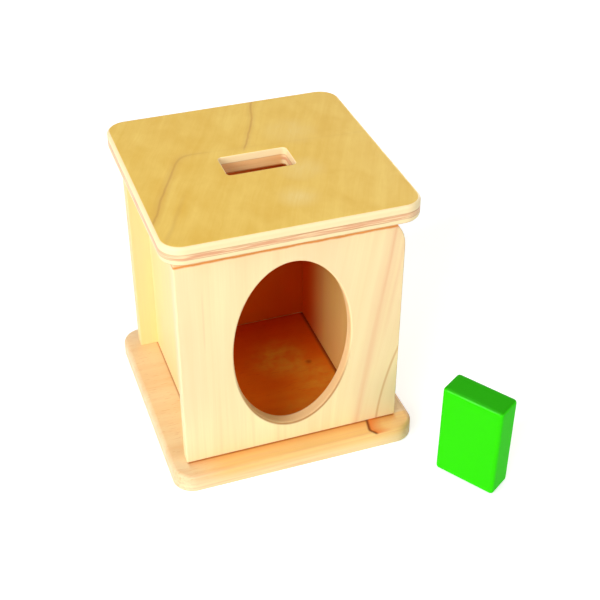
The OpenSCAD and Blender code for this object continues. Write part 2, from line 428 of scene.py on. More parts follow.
def opening_rim(tree, place, z, colour):
    """Adds the pinkish cut wood of the opening, and the darker line on its lower arris."""
    level = FLOOR_MM + OPENING_FOOT_MM + OPENING_H_MM / 2
    half_w, half_h = OPENING_W_MM / 2, OPENING_H_MM / 2
    shares = add(tree, "VectorMath", {
        0: place, 1: [1 / (half_w * MM), 0, 1 / (half_h * MM)], 2: [0, 0, -level / half_h],
    }, operation="MULTIPLY_ADD")
    reach = add(tree, "VectorMath", {0: shares}, operation="LENGTH").outputs["Value"]
    beyond = add(tree, "Math", {0: reach, 1: 1.0}, operation="SUBTRACT")
    beyond = add(tree, "Math", {0: beyond, 1: half_w * MM}, operation="MULTIPLY")
    colour = laid_over(tree, colour, RIM, band(tree, beyond, -FAR_MM, CUT_MM))
    offset = add(tree, "Math", {0: beyond, 1: EDGE_BEYOND_MM * MM}, operation="SUBTRACT")
    arris = soft_line(tree, offset, EDGE_HALF_MM, EDGE_STRENGTH)
    return laid_over(tree, colour, RIM_EDGE, arris, band(tree, z, 0, level + EDGE_TO_MM, EDGE_FADE_MM))


print("opening in mm:", OPENING_W_MM, OPENING_H_MM)


# %% [markdown]
# ### The front panel's birch, put together
#
# The panel is the same planed birch as the walls, a little warmer towards the top, partly its own tone
# and partly painted shade under the plate's overhang, with each kind of mark laid over the last one.

# %% Front panel birch
WARM_FROM_MM, WARM_TO_MM = 30.0, 150.0
WARM_MOST = 0.3


def front_birch():
    material, tree, shader, place = new_material("birch_front_panel_satin_lacquer")
    straight, across, axes = leaning_place(tree, place)
    x, z = axes.outputs["X"], axes.outputs["Z"]
    colour, fibres = birch_colour(tree, straight, PALE)
    # Warmer towards the top: partly the panel's own tone, partly painted shade under the plate.
    warmer = add(tree, "MapRange", {
        "Value": z, "From Min": WARM_FROM_MM * MM, "From Max": WARM_TO_MM * MM, "To Max": WARM_MOST,
    })
    colour = laid_over(tree, colour, PEACHY, warmer)
    colour = streaked(tree, straight, across, z, colour)
    colour = growth_lines(tree, x, z, colour)
    colour = opening_rim(tree, place, z, colour)
    # Painted shade and shadow line under the plate.
    colour = shade_under_plate(tree, place, z, colour)
    # Painted shade on the panel's inner face.
    lacquered(tree, shader, shade_inside_faces(tree, place, colour, linear(PAINTED_INSIDE_SHADE)), fibres, *PLANED_ROUGHNESS)
    return material


panel_birch = counted(front_birch())

# %% [markdown]
# ## Plywood for the top
#
# The top is plywood. Its face is one golden sheet peeled off the log, so the growth rings cross it in
# wide wandering lines. One dark line arches in from the left and fades out at the slot, and leaves
# again by the back edge. The arch is the smaller of two distances, to a slanting line and to a level
# one, with the corner between them rounded by a smooth minimum.

# %% Plywood, the growth rings
RING = "#b8752f"
PEEL_SLANT = 0.48
ARCH_FOOT_MM, ARCH_TOP_MM, ARCH_TOP_SLOPE, ARCH_ROUND_MM = -47.8, 16.5, -0.06, 14.0
ARCH_FADE_MM, ARCH_END_MM, ARCH_LEAST = -44.0, -19.0, 0.1
BACK_FOOT_MM, BACK_SLOPE, BACK_BEND = -10.8, 0.586, -0.0024
BACK_FROM_MM, BACK_FADE_MM = 15.0, 4.0
SISTER_RING_MM, SISTER_TO_MM, SISTER_FADE_MM = 12.0, -25.0, 15.0


def growth_rings(tree, x, y, colour):
    """Adds the dark growth ring in its two parts, each with a soft glow, and a fainter one beside it."""
    side = from_curve(tree, x, y, ARCH_FOOT_MM, PEEL_SLANT, 0.0)
    above = from_curve(tree, y, x, ARCH_TOP_MM, ARCH_TOP_SLOPE, 0.0)
    below = add(tree, "Math", {0: above, 1: -1.0}, operation="MULTIPLY")
    arch = add(tree, "Math", {0: side, 1: below, 2: ARCH_ROUND_MM * MM}, operation="SMOOTH_MIN")
    fading = add(tree, "MapRange", {
        "Value": x, "From Min": ARCH_FADE_MM * MM, "From Max": ARCH_END_MM * MM,
        "To Min": 1.0, "To Max": ARCH_LEAST,
    })
    back = from_curve(tree, x, y, BACK_FOOT_MM, BACK_SLOPE, BACK_BEND)
    behind_slot = band(tree, y, BACK_FROM_MM, FAR_MM, BACK_FADE_MM)
    sister = add(tree, "Math", {0: side, 1: SISTER_RING_MM * MM}, operation="SUBTRACT")
    in_front = band(tree, y, -FAR_MM, SISTER_TO_MM, SISTER_FADE_MM)
    for offset, half_mm, strength, where in (
        (arch, 1.2, 0.38, fading), (arch, 5.0, 0.2, fading),
        (back, 1.1, 0.45, behind_slot), (back, 4.0, 0.18, behind_slot), (sister, 2.5, 0.16, in_front),
    ):
        colour = laid_over(tree, colour, RING, soft_line(tree, offset, half_mm, strength), where)
    return colour


# %% [markdown]
# ### The golden sheet
#
# Between the rings the sheet is mottled, with three paler patches near the slot, partly its own figure
# and partly a painted sheen. The rings wander because the place is first pushed sideways by a slow noise.

# %% Plywood, the face
GOLD = "#f3cd64"
DEEP_GOLD = "#e8ba48"
PALE_GOLD = "#f6dc92"
PLY_TOP_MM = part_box("top_plate")[1].z / MM
WANDER_MM, WANDER_CELL_MM = 4.0, (22, 26, 40)
RING_BAND_MM = (10, 120, 60)
MOTTLE_MM = (14, 20, 40)
SHEET_FIBRE_MM = (0.8, 18, 0.8)
PALE_AND_SHEEN_PATCHES_MM = ((28, 26, 20), (20, -16, 17), (9, -42, 15))


def soft_spot(tree, place, middle_mm, radius_mm):
    """1 at a point, fading to 0 at a radius, with both given in millimetres."""
    away = add(tree, "VectorMath", {0: place, 1: [v * MM for v in middle_mm]}, operation="DISTANCE")
    return add(tree, "MapRange", {
        "Value": away, "From Max": radius_mm * MM, "To Min": 1.0, "To Max": 0.0,
    }, interpolation_type="SMOOTHSTEP")


def veneer_colour(tree, place, axes):
    """The golden peeled sheet: its colour and its fibres."""
    y = axes.outputs["Y"]
    wander = grain(tree, place, WANDER_CELL_MM, detail=2.0)
    x = add(tree, "Math", {0: wander, 1: -WANDER_MM * MM, 2: axes.outputs["X"]}, operation="MULTIPLY_ADD")
    x = add(tree, "Math", {0: x, 1: WANDER_MM / 2 * MM}, operation="ADD")
    across = add(tree, "Math", {0: y, 1: -PEEL_SLANT, 2: x}, operation="MULTIPLY_ADD")
    along_rings = add(tree, "CombineXYZ", {"X": across, "Y": y, "Z": axes.outputs["Z"]})
    bands = grain(tree, along_rings, RING_BAND_MM)
    mottle = grain(tree, place, MOTTLE_MM, detail=4.0)
    fibres = grain(tree, along_rings, SHEET_FIBRE_MM, detail=2.0)
    cloudy = add(tree, "Math", {0: bands, 1: mottle}, operation="ADD")
    amount = add(tree, "MapRange", {"Value": cloudy, "From Min": 0.75, "From Max": 1.3})
    colour = laid_over(tree, linear(GOLD), DEEP_GOLD, amount)
    patchy = add(tree, "MapRange", {
        "Value": mottle, "From Min": 0.36, "From Max": 0.6, "To Min": 0.2, "To Max": 0.65,
    })
    # Pale patches: partly the sheet's own figure, partly a painted sheen.
    for middle_x, middle_y, radius_mm in PALE_AND_SHEEN_PATCHES_MM:
        pale = soft_spot(tree, place, (middle_x, middle_y, PLY_TOP_MM), radius_mm)
        colour = laid_over(tree, colour, PALE_GOLD, pale, patchy)
    colour = growth_rings(tree, x, y, colour)
    shade = add(tree, "MapRange", {"Value": fibres, "From Min": 0.4, "From Max": 0.75, "To Max": 0.25})
    return laid_over(tree, colour, DEEP_GOLD, shade), fibres


print("golden sheet at", round(PLY_TOP_MM, 1), "mm, with", len(PALE_AND_SHEEN_PATCHES_MM), "pale patches")


# %% [markdown]
# ### The cut plies
#
# On the edges the plies show as bands: cream where the grain runs along, pinkish brown where it ends,
# with thin glue lines between. The bands come from the height in the board, so they also show inside
# the slot, where the lower plies are laid over with tan.

# %% Plywood, the edges
CREAM_PLY = "#fee6b4"
CROSS_PLY = "#e6a97f"
GLUE = "#b5622c"
LOW_SHEET_AND_SHADE = "#dc9550"
SLOT_TAN = "#fcc684"
SLOT_W_MM, SLOT_D_MM = 39.0, 20.0
LOW_SHEET_MM = 0.9
PLY_FOOT_MM = CEILING_MM + 0.5
CROSS_LOW_MM, CROSS_HIGH_MM = PLY_FOOT_MM + 3.5, PLY_FOOT_MM + 6.5
RAGGED_MM, RAGGED_CELL_MM = 1.0, (22, 22, 4)
PORE_MM = (16, 16, 0.6)
GLUE_HALF_MM = 0.5
SLOT_TAN_MOST = 0.8


def ply_edge_colour(tree, place, axes):
    """The cut plies: cream, pinkish cross ply and cream, with thin uneven glue lines."""
    ragged = grain(tree, place, RAGGED_CELL_MM)
    level = add(tree, "Math", {0: ragged, 1: RAGGED_MM * MM, 2: axes.outputs["Z"]}, operation="MULTIPLY_ADD")
    pores = grain(tree, place, PORE_MM, detail=2.0)
    end_grain = add(tree, "MapRange", {"Value": pores, "From Min": 0.4, "From Max": 0.7})
    end_grain = laid_over(tree, linear(CROSS_PLY), CREAM_PLY, end_grain)
    cross = band(tree, level, CROSS_LOW_MM, CROSS_HIGH_MM)
    colour = add(tree, "Mix", {"Factor": cross, "A": linear(CREAM_PLY), "B": end_grain}, data_type="RGBA")
    for glue_mm, strength in ((CROSS_LOW_MM, 0.8), (CROSS_HIGH_MM, 1.1)):
        offset = add(tree, "Math", {0: level, 1: glue_mm * MM}, operation="SUBTRACT")
        colour = laid_over(tree, colour, GLUE, soft_line(tree, offset, GLUE_HALF_MM, strength), ragged)
    from_x = add(tree, "Math", {0: axes.outputs["X"]}, operation="ABSOLUTE")
    from_y = add(tree, "Math", {0: axes.outputs["Y"]}, operation="ABSOLUTE")
    along_slot = band(tree, from_x, -FAR_MM, SLOT_W_MM / 2 - 2, 1.5)
    in_slot = band(tree, from_y, -FAR_MM, SLOT_D_MM / 2 + 1)
    lower = band(tree, level, -FAR_MM, CROSS_HIGH_MM, 0.5)
    colour = laid_over(tree, colour, SLOT_TAN, lower, along_slot, in_slot, SLOT_TAN_MOST)
    # The lowest sheet and the underside: the lower veneer's own tone, deepened as painted shade.
    low_sheet = band(tree, axes.outputs["Z"], -FAR_MM, CEILING_MM + LOW_SHEET_MM, 0.15)
    return laid_over(tree, colour, LOW_SHEET_AND_SHADE, low_sheet)


print("cross ply from", round(CROSS_LOW_MM, 1), "to", round(CROSS_HIGH_MM, 1), "mm")


# %% [markdown]
# ### The plywood, put together
#
# The golden sheet is only the uppermost skin of the board, so it ends a hair below the top. Where the
# arris is rounded over, the cream ply under it shows.

# %% Plywood
TOP_SHEET_MM = 0.12
SANDED_ROUGHNESS = (0.34, 0.48)


def birch_ply():
    material, tree, shader, place = new_material("birch_plywood_satin_lacquer")
    axes = add(tree, "SeparateXYZ", {"Vector": place})
    face, fibres = veneer_colour(tree, place, axes)
    edge = ply_edge_colour(tree, place, axes)
    on_face = band(tree, axes.outputs["Z"], PLY_TOP_MM - TOP_SHEET_MM, FAR_MM, 0.08)
    colour = add(tree, "Mix", {"Factor": on_face, "A": edge, "B": face}, data_type="RGBA")
    # Painted shade on the plate's underside inside the box.
    lacquered(tree, shader, shade_inside_faces(tree, place, colour, linear(PAINTED_INSIDE_SHADE)), fibres, *SANDED_ROUGHNESS)
    return material


plywood = counted(birch_ply())

# %% [markdown]
# ## Beech for the base board
#
# The base is one solid board of beech, peach in colour, with the grain running from side to side and
# the short dark flecks that beech always has. Along the foot of the walls it is painted a more orange
# shade, and darker still where they meet the board, as painted shade.

# %% Beech, the painted shade at the walls' foot
# Painted shade along the foot of the walls, and darker where they meet the board.
PAINTED_FOOT_SHADE = "#e8913f"
PAINTED_JOIN_SHADE = "#b05a1c"
WALL_X_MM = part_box("right_wall")[1].x / MM
PANEL_X_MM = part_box("front_panel")[1].x / MM
PANEL_Y_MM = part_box("back_panel")[1].y / MM
FOOT_SHADE_MM = 7.0
JOIN_SHADE_MM = 1.4
SHADE_TOP_EDGE_MM, SHADE_TOP_FADE_MM = 1.5, 0.8


def shade_at_walls_foot(tree, axes, colour):
    """Paints shade along the outside of the walls' foot, darkest where they meet the board."""
    from_x = add(tree, "Math", {0: axes.outputs["X"]}, operation="ABSOLUTE")
    from_y = add(tree, "Math", {0: axes.outputs["Y"]}, operation="ABSOLUTE")
    at_wall = add(tree, "Math", {0: from_x, 1: WALL_X_MM * MM}, operation="SUBTRACT")
    at_panel = add(tree, "Math", {0: from_y, 1: PANEL_Y_MM * MM}, operation="SUBTRACT")
    beside_wall = band(tree, from_y, -FAR_MM, PANEL_Y_MM, 1)
    before_panel = band(tree, from_x, -FAR_MM, PANEL_X_MM - 0.5, 1)
    on_top = band(tree, axes.outputs["Z"], FLOOR_MM - SHADE_TOP_EDGE_MM, FAR_MM, SHADE_TOP_FADE_MM)
    for offset, where, reach_mm, strength, tone in (
        (at_wall, beside_wall, FOOT_SHADE_MM, 0.1, PAINTED_FOOT_SHADE), (at_wall, beside_wall, JOIN_SHADE_MM, 0.7, PAINTED_JOIN_SHADE),
        (at_panel, before_panel, FOOT_SHADE_MM, 0.6, PAINTED_SHADE_ORANGE),
        (at_panel, before_panel, JOIN_SHADE_MM, 0.8, PAINTED_JOIN_SHADE),
    ):
        shaded = soft_line(tree, offset, reach_mm, strength)
        colour = laid_over(tree, colour, tone, shaded, where, on_top)
    return colour


print("the walls' foot, in mm:", round(2 * WALL_X_MM, 1), "wide and", round(2 * PANEL_Y_MM, 1), "deep")


# %% [markdown]
# ### The bark mark
#
# In front of the panel, towards the right, a small hooked mark of bark shows, with orange wood held in
# its hook. As with the ring on the top, two lines and a smooth minimum give the hook.

# %% Beech, the bark mark
BARK_AND_SHADE = "#86400c"
STAIN = "#f07c2c"
STEM_FOOT_MM, STEM_SLANT = 57.8, 0.2
HOOK_FOOT_MM, HOOK_SLANT = -32.5, -0.83
HOOK_ROUND_MM = 3.0
MARK_HALF_MM, MARK_END_MM = 1.5, 48.5
STAIN_MM = 9.0


def bark_mark(tree, axes, colour):
    """Draws the hooked mark, and the orange wood that it holds on its right."""
    x, y = axes.outputs["X"], axes.outputs["Y"]
    held = add(tree, "Math", {
        0: from_curve(tree, x, y, STEM_FOOT_MM, STEM_SLANT, 0.0),
        1: from_curve(tree, y, x, HOOK_FOOT_MM, HOOK_SLANT, 0.0), 2: HOOK_ROUND_MM * MM,
    }, operation="SMOOTH_MIN")
    stain = add(tree, "MapRange", {
        "Value": held, "From Max": STAIN_MM * MM, "To Min": 1.0, "To Max": 0.0,
    })
    on_top = band(tree, axes.outputs["Z"], FLOOR_MM - 1.0, FAR_MM, 0.5)
    in_front = band(tree, y, -FAR_MM, -PANEL_Y_MM + 1, 0.5)
    colour = laid_over(tree, colour, STAIN, stain, band(tree, held, 0, FAR_MM, 0.4), on_top, in_front)
    mark = soft_line(tree, held, MARK_HALF_MM, 1.0)
    return laid_over(tree, colour, BARK_AND_SHADE, mark, band(tree, x, 0, MARK_END_MM, 1.5), on_top, in_front)


# %% [markdown]
# ### The board's front
#
# The front of the board is more golden than its sides, partly its own tone and partly painted shade and
# reflection near the panel, with pinkish streaks along the grain. Towards its foot it is creamy, and the
# right end is brown, a painted shade on the end that turns away from the light.

# %% Beech, the front
GOLD_AND_PAINTED_SHADE = "#ffca78"
FRONT_STREAK = "#f2b27c"
FRONT_CREAM = "#ffedc0"
BASE_END_SHADE = "#c07f34"
BASE_X_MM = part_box("base_board")[1].x / MM
FRONT_STREAK_MM = (70, 1.6, 1.6)
GOLD_FROM_MM, GOLD_FADE_MM, GOLD_MOST = -52.0, 14.0, 0.85
CREAM_BEYOND_MM, CREAM_EDGE_FADE_MM = 9.0, 3.0
CREAM_BELOW_MM, CREAM_FOOT_FADE_MM = 5.0, 4.0
CREAM_MOST = 0.6
BROWN_MM, BROWN_FADE_MM, BROWN_MOST = 2.0, 2.5, 0.9


def front_tones(tree, place, axes, colour):
    """Makes the front of the board golden, partly as painted shade, and streaked, its foot creamy and its
    right end brown as painted shade.
    """
    x, y, z = (axes.outputs[name] for name in "XYZ")
    at_front = band(tree, y, -FAR_MM, -PANEL_Y_MM + 1, 1)
    along_x = band(tree, x, GOLD_FROM_MM, FAR_MM, GOLD_FADE_MM)
    at_edge = band(tree, y, -FAR_MM, -PANEL_Y_MM - CREAM_BEYOND_MM, CREAM_EDGE_FADE_MM)
    at_foot = band(tree, z, -FAR_MM, FLOOR_MM - CREAM_BELOW_MM, CREAM_FOOT_FADE_MM)
    at_end = band(tree, x, BASE_X_MM - BROWN_MM, FAR_MM, BROWN_FADE_MM)
    streaks = add(tree, "MapRange", {
        "Value": grain(tree, place, FRONT_STREAK_MM), "From Min": 0.48, "From Max": 0.72, "To Max": 0.6,
    })
    # Golden front: partly the board's own tone, partly painted shade and reflection near the panel.
    colour = laid_over(tree, colour, GOLD_AND_PAINTED_SHADE, at_front, along_x, GOLD_MOST)
    colour = laid_over(tree, colour, FRONT_CREAM, at_edge, at_foot, CREAM_MOST)
    colour = laid_over(tree, colour, FRONT_STREAK, at_front, streaks)
    # Painted shade on the right end.
    return laid_over(tree, colour, BASE_END_SHADE, at_end, BROWN_MOST)


print("the board's right end at", round(BASE_X_MM, 1), "mm")


# %% [markdown]
# ### The floor inside
#
# Inside, the floor has painted light in blotches where light falls in through the opening, and painted
# shade along the walls and towards the back. It has one pin knot.

# %% Beech, the floor inside
PAINTED_FLOOR_LIGHT = "#ffe468"
LIT_PLACES_MM = ((16, 12, 26, 1.0), (34, -12, 26, 0.7), (24, -44, 40, 0.55))
BLOTCH_MM = (8, 6, 20)
DEEPER_FROM_MM = -20.0
KNOT_MM, KNOT_RADIUS_MM, KNOT_MOST = (32.0, 3.0), 3.0, 0.6
WALL_SHADE_MM, WALL_SHADE_MOST = 3.0, 0.85


def floor_shade_and_knot(tree, place, axes):
    """The painted light and shade on the inside floor: lighter in blotches, darker along the walls and
    towards the back, with a pin knot.
    """
    blotches = add(tree, "MapRange", {
        "Value": grain(tree, place, BLOTCH_MM), "From Min": 0.35, "From Max": 0.65, "To Min": 0.35,
    })
    further_in = add(tree, "MapRange", {
        "Value": axes.outputs["Y"], "From Min": DEEPER_FROM_MM * MM, "From Max": INNER_Y_MM * MM,
    })
    tone = laid_over(tree, linear(PAINTED_INSIDE_SHADE), PAINTED_CORNER_SHADE, further_in)
    for middle_x, middle_y, reach_mm, strength in LIT_PLACES_MM:
        lit = soft_spot(tree, place, (middle_x, middle_y, FLOOR_MM), reach_mm)
        tone = laid_over(tree, tone, PAINTED_FLOOR_LIGHT, lit, strength, blotches)
    knot = soft_spot(tree, place, KNOT_MM + (FLOOR_MM,), KNOT_RADIUS_MM)
    tone = laid_over(tree, tone, BARK_AND_SHADE, knot, KNOT_MOST)
    # Painted shade along the foot of the side walls.
    from_x = add(tree, "Math", {0: axes.outputs["X"]}, operation="ABSOLUTE")
    along_wall = add(tree, "Math", {0: from_x, 1: INNER_X_MM * MM}, operation="SUBTRACT")
    return laid_over(tree, tone, BARK_AND_SHADE, soft_line(tree, along_wall, WALL_SHADE_MM, WALL_SHADE_MOST))


print("floor inside:", len(LIT_PLACES_MM), "worn places")


# %% [markdown]
# ### The beech, put together
#
# Bands and flecks run along the board, and the marks above are laid over them.

# %% Beech
PEACH = "#fddeb0"
PEACH_DEEP = "#f9d09c"
FLECK = "#e0a060"
BEECH_BAND_MM = (240, 7, 7)
BEECH_FIBRE_MM = (40, 0.7, 0.7)
FLECK_MM = (4, 0.6, 0.6)


def solid_beech():
    material, tree, shader, place = new_material("beech_board_satin_lacquer")
    axes = add(tree, "SeparateXYZ", {"Vector": place})
    bands = grain(tree, place, BEECH_BAND_MM)
    fibres = grain(tree, place, BEECH_FIBRE_MM, detail=2.0)
    amount = add(tree, "MapRange", {"Value": bands, "From Min": 0.38, "From Max": 0.7})
    colour = laid_over(tree, linear(PEACH), PEACH_DEEP, amount)
    flecks = grain(tree, place, FLECK_MM, detail=0.0)
    marked = add(tree, "MapRange", {"Value": flecks, "From Min": 0.66, "From Max": 0.8, "To Max": 0.35})
    colour = laid_over(tree, colour, FLECK, marked)
    colour = front_tones(tree, place, axes, colour)
    # Painted shade at the walls' foot, then the bark mark.
    colour = bark_mark(tree, axes, shade_at_walls_foot(tree, axes, colour))
    # Painted shade and light on the faces inside the box.
    colour = shade_inside_faces(tree, place, colour, floor_shade_and_knot(tree, place, axes))
    lacquered(tree, shader, colour, fibres, *SANDED_ROUGHNESS)
    return material


base_beech = counted(solid_beech())

# %% [markdown]
# ## Green lacquer for the block
#
# The block is beech, sprayed with several coats of glossy green and rubbed smooth between them. What is
# left to see is a very slight unevenness in the gloss, and a bright line of light along the round edges.
# The top and bottom are painted a darker green, a painted shade that keeps the top darker than the sides.

# %% Green lacquer
GREEN = "#32e200"
GREEN_DEEP = "#2bce00"
GREEN_PAINTED_SHADE = "#26b000"
SPRAY_MM = 2.5
SPRAY_RELIEF_MM = 0.1
ENDS_MM, ENDS_FADE_MM = 0.7, 0.4


def green_lacquer():
    material, tree, shader, place = new_material("green_gloss_lacquer_sprayed")
    uneven = grain(tree, place, (SPRAY_MM, SPRAY_MM, SPRAY_MM), detail=1.0)
    tint = add(tree, "MapRange", {"Value": uneven, "To Min": 0.0, "To Max": 0.12})
    colour = laid_over(tree, linear(GREEN), GREEN_DEEP, tint)
    z = add(tree, "SeparateXYZ", {"Vector": place}).outputs["Z"]
    top_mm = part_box("block")[1].z / MM
    # Painted shade: the top and bottom faces are darker.
    between_ends = band(tree, z, ENDS_MM, top_mm - ENDS_MM, ENDS_FADE_MM)
    colour = add(tree, "Mix", {"Factor": between_ends, "A": linear(GREEN_PAINTED_SHADE), "B": colour}, data_type="RGBA")
    tree.links.new(colour.outputs[2], shader.inputs["Base Color"])
    bump = add(tree, "Bump", {"Height": uneven, "Strength": 0.05, "Distance": SPRAY_RELIEF_MM * MM})
    tree.links.new(bump.outputs[0], shader.inputs["Normal"])
    shader.inputs["Roughness"].default_value = 0.4
    shader.inputs["Specular IOR Level"].default_value = 0.0
    shader.inputs["Coat Weight"].default_value = 0.14
    shader.inputs["Coat Roughness"].default_value = 0.14
    return material


block_green = counted(green_lacquer())

# %% [markdown]
# ## Metal and raw beech for the joinery
#
# Eight zinc-plated screws hold the base, and their heads show from below. The dowels are turned from
# raw beech and stay hidden in the boards. Both keep their CAD shapes, which are already exact.

# %% Joinery
ZINC, ZINC_DULL = "#c3c7cc", "#dcdcd4"
ZINC_PATCH_MM = (1.5, 1.5, 1.5)
DOWEL, DOWEL_DEEP = "#dcb682", "#c99b62"
DOWEL_FIBRE_MM = (0.8, 0.8, 0.8)
TURNED_ROUGHNESS = (0.6, 0.8)


def zinc_plated():
    material, tree, shader, place = new_material("steel_zinc_plated")
    patches = grain(tree, place, ZINC_PATCH_MM)
    colour = laid_over(tree, linear(ZINC), ZINC_DULL, patches)
    tree.links.new(colour.outputs[2], shader.inputs["Base Color"])
    rough = add(tree, "MapRange", {"Value": patches, "To Min": 0.25, "To Max": 0.45})
    tree.links.new(rough.outputs[0], shader.inputs["Roughness"])
    shader.inputs["Metallic"].default_value = 1.0
    return material


def raw_beech():
    material, tree, shader, place = new_material("beech_turned_raw")
    fibres = grain(tree, place, DOWEL_FIBRE_MM)
    colour = laid_over(tree, linear(DOWEL), DOWEL_DEEP, fibres)
    lacquered(tree, shader, colour, fibres, *TURNED_ROUGHNESS)
    return material


dowel_beech = counted(raw_beech())
for node_name, finish in (
    ("base_screws", counted(zinc_plated())), ("top_dowels", dowel_beech), ("wall_dowels", dowel_beech),
):
    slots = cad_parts[node_name].data.materials
    slots.clear()
    slots.append(finish)

# %% [markdown]
# ## From a bmesh to a piece
#
# Each board is shaped in a bmesh and then becomes an object that stands in for its CAD node. All faces
# are shaded smooth, and the weighted normals keep the large flat faces flat, so that only the rounded
# edges catch the light.

# %% Helpers for pieces
def make_piece(bm, node_name, body, material):
    """Turns a finished bmesh into the piece that is shown in place of a CAD node."""
    bmesh.ops.recalc_face_normals(bm, faces=bm.faces[:])
    mesh = bpy.data.meshes.new(node_name + "_finished")
    bm.to_mesh(mesh)
    bm.free()
    mesh.materials.append(material)
    mesh.shade_smooth()
    piece = bpy.data.objects.new(node_name + "_finished", mesh)
    bpy.context.scene.collection.objects.link(piece)
    flat_faces = piece.modifiers.new("flat_faces_stay_flat", "WEIGHTED_NORMAL")
    flat_faces.weight = 100
    flat_faces.keep_sharp = True
    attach(piece, body)
    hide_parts(node_name)
    print(piece.name, len(mesh.polygons), "faces")
    return piece


def round_edges(bm, edges, radius_mm, segments):
    """Rounds edges over with a quarter circle."""
    return bmesh.ops.bevel(
        bm, geom=edges, offset=radius_mm * MM, offset_type="OFFSET", segments=segments, profile=0.5,
        affect="EDGES", material=-1, clamp_overlap=True, loop_slide=False,
    )


def sharp_edges(bm, least_degrees=40.0):
    """Edges where two faces meet at an angle, that is, the arrises of a board."""
    least = math.radians(least_degrees)
    return [e for e in bm.edges if len(e.link_faces) == 2 and e.calc_face_angle() > least]


def is_upright(edge):
    """Does an edge run along Z?"""
    return abs((edge.verts[0].co - edge.verts[1].co).normalized().z) > 0.99


def node_block(node_name):
    """A bmesh cuboid that fills the box of a CAD node, with its lowest and highest corner."""
    low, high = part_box(node_name)
    bm = bmesh.new()
    size = Matrix.Diagonal(high - low).to_4x4()
    bmesh.ops.create_cube(bm, size=1.0, matrix=Matrix.Translation((low + high) / 2) @ size)
    return bm, low, high


# %% [markdown]
# ## The base board
#
# A flat board with round corners and a softened upper arris: a cuboid whose upright edges are rounded
# first, and then the long edges round its top and its foot. Underneath, eight countersunk holes take the
# screw heads. A hole in a flat face is a circle drawn on it: triangle_fill lays the face again around
# all the circles at once, and each circle is then drawn up into a short bore and a cone.

# %% Base board
BASE_CORNER_MM = 12.0
BASE_ARRIS_MM = 2.5
BASE_FOOT_MM = 1.0
SCREW_HEAD_MM, SCREW_SHANK_MM = 6.2, 3.2
SCREW_SINK_MM = 0.5
PANEL_SCREW_X_MM, WALL_SCREW_Y_MM = 40.0, 30.0


def drawn_up(bm, edges, rise_mm, scale):
    """Extrudes a ring of edges upwards and scales the new ring about its own middle."""
    made = bmesh.ops.extrude_edge_only(bm, edges=edges)["geom"]
    verts = [g for g in made if isinstance(g, bmesh.types.BMVert)]
    bmesh.ops.translate(bm, vec=(0, 0, rise_mm * MM), verts=verts)
    middle = sum((v.co for v in verts), Vector()) / len(verts)
    bmesh.ops.scale(bm, vec=(scale, scale, 1), space=Matrix.Translation(-middle), verts=verts)
    edges = [g for g in made if isinstance(g, bmesh.types.BMEdge)]
    return [e for e in edges if all(v in verts for v in e.verts)]


def countersink(bm, places, level):
    """Opens the lowest face of a board at each place for a screw head."""
    underside = min(bm.faces, key=lambda f: f.calc_center_median().z)
    outline = underside.edges[:]
    bmesh.ops.delete(bm, geom=[underside], context="FACES_ONLY")
    rings = []
    for x, y in places:
        ring = bmesh.ops.create_circle(
            bm, cap_ends=False, segments=24, radius=SCREW_HEAD_MM / 2 * MM,
            matrix=Matrix.Translation((x, y, level)),
        )
        rings.append(list({e for v in ring["verts"] for e in v.link_edges}))
    bmesh.ops.triangle_fill(bm, use_beauty=True, edges=outline + [e for ring in rings for e in ring])
    for ring in rings:
        seat = drawn_up(bm, ring, SCREW_SINK_MM, 1.0)
        neck = drawn_up(bm, seat, (SCREW_HEAD_MM - SCREW_SHANK_MM) / 2, SCREW_SHANK_MM / SCREW_HEAD_MM)
        bmesh.ops.contextual_create(bm, geom=neck)
        for edge in ring + seat + neck:
            edge.smooth = False


def middle_of(node_name, axis):
    """The middle of a CAD node along an axis."""
    low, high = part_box(node_name)
    return (low[axis] + high[axis]) / 2


bm, low, high = node_block("base_board")
round_edges(bm, [e for e in bm.edges if is_upright(e)], BASE_CORNER_MM, 14)
upper = [e for e in sharp_edges(bm) if min(v.co.z for v in e.verts) > high.z - MM]
round_edges(bm, upper, BASE_ARRIS_MM, 6)
lower = [e for e in sharp_edges(bm) if max(v.co.z for v in e.verts) < low.z + MM]
round_edges(bm, lower, BASE_FOOT_MM, 4)
screw_places = [(x * MM, middle_of(panel, 1)) for x in (-PANEL_SCREW_X_MM, PANEL_SCREW_X_MM)
                for panel in ("front_panel", "back_panel")]
screw_places += [(middle_of(wall, 0), y * MM) for y in (-WALL_SCREW_Y_MM, WALL_SCREW_Y_MM)
                 for wall in ("left_wall", "right_wall")]
countersink(bm, screw_places, low.z)
make_piece(bm, "base_board", "box", base_beech)

# %% [markdown]
# ## Boards with a hole
#
# The front panel and the top plate are flat boards with an opening. One way is to cut a solid with a
# boolean. Here the outline and the opening are drawn as two closed rows of edges with as many points
# each, and bridge_loops lays the faces between them, which leaves clean edges to round afterwards.

# %% Helpers for boards with a hole
def rounded_outline(bm, matrix, corner_radius_mm, segments, spacing_mm):
    """Draws a unit square through a matrix, rounds its corners and divides its straight sides."""
    made = bmesh.ops.create_grid(bm, x_segments=1, y_segments=1, size=0.5, matrix=matrix)
    for corner in made["verts"]:
        radius_mm = corner_radius_mm(corner.co)
        if radius_mm > 0:
            bmesh.ops.bevel(
                bm, geom=[corner], offset=radius_mm * MM, offset_type="OFFSET", segments=segments,
                profile=0.5, affect="VERTICES", material=-1,
            )
    face = bm.faces[:][-1]
    for edge in face.edges[:]:
        cuts = round(edge.calc_length() / (spacing_mm * MM)) - 1
        if cuts > 0:
            bmesh.ops.subdivide_edges(bm, edges=[edge], cuts=cuts)
    return face


